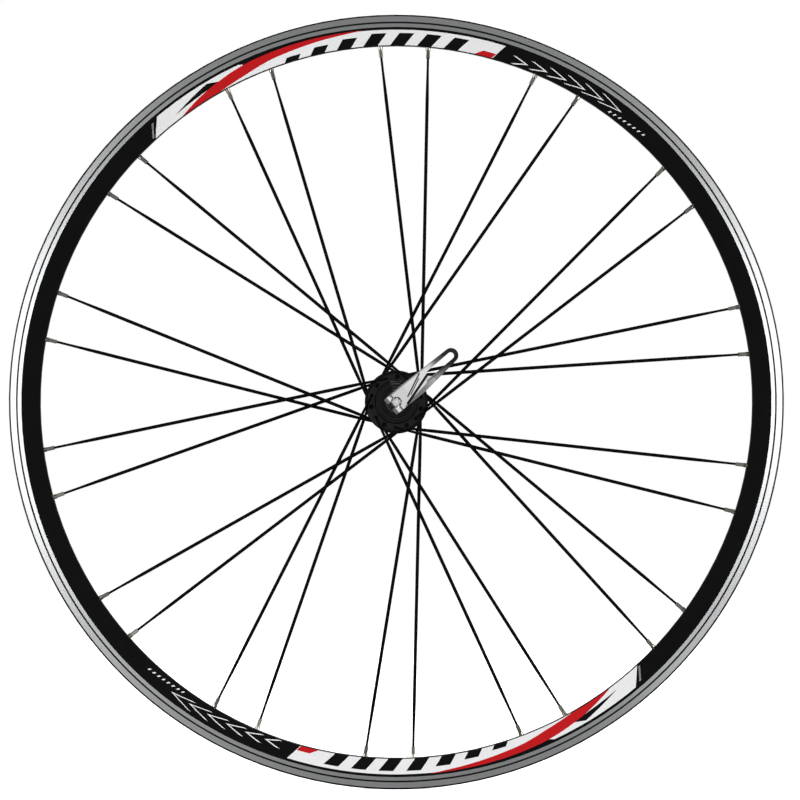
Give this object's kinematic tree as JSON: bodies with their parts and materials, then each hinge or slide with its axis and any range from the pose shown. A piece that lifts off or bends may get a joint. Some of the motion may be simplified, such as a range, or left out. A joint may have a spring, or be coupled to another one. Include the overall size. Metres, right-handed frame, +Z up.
{
  "type": "bicycle wheel",
  "caption": "Road bicycle front wheel without tyre, with laced bladed spokes, bearing hub and quick-release skewer.",
  "frame": {"origin": "centre of the wheel, on the axle and midway between the hub flanges", "axes": "+Y along the axle away from the lever side, +Z up, +X to the right seen from the lever side"},
  "size_m": [0.634, 0.1458, 0.6339],
  "materials": {
    "rim": "black gloss paint with bare machined brake tracks",
    "rim_tape": "matt nylon strip",
    "rim_decals": "printed vinyl, white, black and red",
    "spokes": "black oxide on stainless steel",
    "nipples": "nickel-plated brass",
    "hub_shell": "gloss black anodised",
    "bearing_steel": "ground bearing steel",
    "bearing_cage": "nylon",
    "seals": "moulded rubber",
    "axle": "turned",
    "axle_caps": "black anodised",
    "skewer_black": "black anodised",
    "cam_saddle": "black nylon",
    "skewer_steel": "drawn and thread-rolled",
    "cam_pin": "polished steel",
    "lever": "polished",
    "springs": "drawn spring wire",
    "nut_insert": "nylon"
  },
  "bodies": {
    "axle": {"axle": "axle", "left_bearing_inner_ring": "bearing_steel", "right_bearing_inner_ring": "bearing_steel", "left_spacer": "axle", "right_spacer": "axle", "left_dust_cap": "axle_caps", "right_dust_cap": "axle_caps", "left_locknut": "axle_caps", "right_locknut": "axle_caps"},
    "wheel": {"rim": "rim", "rim_tape": "rim_tape", "spoke_nipples": "nipples", "left_spoke_01": "spokes", "left_spoke_02": "spokes", "left_spoke_03": "spokes", "left_spoke_04": "spokes", "left_spoke_05": "spokes", "left_spoke_06": "spokes", "left_spoke_07": "spokes", "left_spoke_08": "spokes", "left_spoke_09": "spokes", "left_spoke_10": "spokes", "left_spoke_11": "spokes", "left_spoke_12": "spokes", "left_spoke_13": "spokes", "left_spoke_14": "spokes", "right_spoke_01": "spokes", "right_spoke_02": "spokes", "right_spoke_03": "spokes", "right_spoke_04": "spokes", "right_spoke_05": "spokes", "right_spoke_06": "spokes", "right_spoke_07": "spokes", "right_spoke_08": "spokes", "right_spoke_09": "spokes", "right_spoke_10": "spokes", "right_spoke_11": "spokes", "right_spoke_12": "spokes", "right_spoke_13": "spokes", "right_spoke_14": "spokes", "hub_shell": "hub_shell", "left_bearing_outer_ring": "bearing_steel", "right_bearing_outer_ring": "bearing_steel", "bearing_seals": "seals", "left_rim_decals": "rim_decals", "right_rim_decals": "rim_decals"},
    "left_cage": {"left_bearing_cage": "bearing_cage", "left_bearing_balls": "bearing_steel"},
    "right_cage": {"right_bearing_cage": "bearing_cage", "right_bearing_balls": "bearing_steel"},
    "clamp": {"clamp_cup": "skewer_black", "cam_saddle": "cam_saddle", "left_spring": "springs"},
    "rod": {"skewer_rod": "skewer_steel", "cam_pin": "cam_pin"},
    "lever": {"lever": "lever"},
    "nut_carriage": {"right_spring": "springs"},
    "nut": {"adjusting_nut": "skewer_black", "nut_insert": "nut_insert"}
  },
  "joints": [
    {"name": "wheel_spin", "type": "hinge", "parent": "axle", "child": "wheel", "pos_m": [0, 0, 0], "axis": [0, 1, 0], "continuous": true},
    {"name": "left_cage_spin", "type": "hinge", "parent": "axle", "child": "left_cage", "pos_m": [0, -0.0376, 0], "axis": [0, 1, 0], "continuous": true},
    {"name": "right_cage_spin", "type": "hinge", "parent": "axle", "child": "right_cage", "pos_m": [0, 0.0376, 0], "axis": [0, 1, 0], "continuous": true},
    {"name": "skewer_turn", "type": "hinge", "parent": "axle", "child": "clamp", "pos_m": [0, -0.0583, 0], "axis": [0, 1, 0], "continuous": true},
    {"name": "rod_travel", "type": "slide", "parent": "clamp", "child": "rod", "axis": [0, 1, 0], "range_m": [0, 0.0016]},
    {"name": "lever_open", "type": "hinge", "parent": "rod", "child": "lever", "pos_m": [0, -0.07045, 0], "axis": [0.6494, 0, -0.7604], "range_deg": [0, 160]},
    {"name": "nut_travel", "type": "slide", "parent": "rod", "child": "nut_carriage", "axis": [0, 1, 0], "range_m": [-0.0008, 0.0048]},
    {"name": "nut_turn", "type": "hinge", "parent": "nut_carriage", "child": "nut", "pos_m": [0, 0.0622, 0], "axis": [0, 1, 0], "range_deg": [-360, 2160]}
  ],
  "couplings": [
    {"joint": "left_cage_spin", "follows": "wheel_spin", "ratio": 0.628},
    {"joint": "right_cage_spin", "follows": "wheel_spin", "ratio": 0.628},
    {"joint": "rod_travel", "follows": "lever_open", "m_per_rad": 0.00057296},
    {"joint": "nut_turn", "follows": "nut_travel", "rad_per_m": 7854}
  ]
}
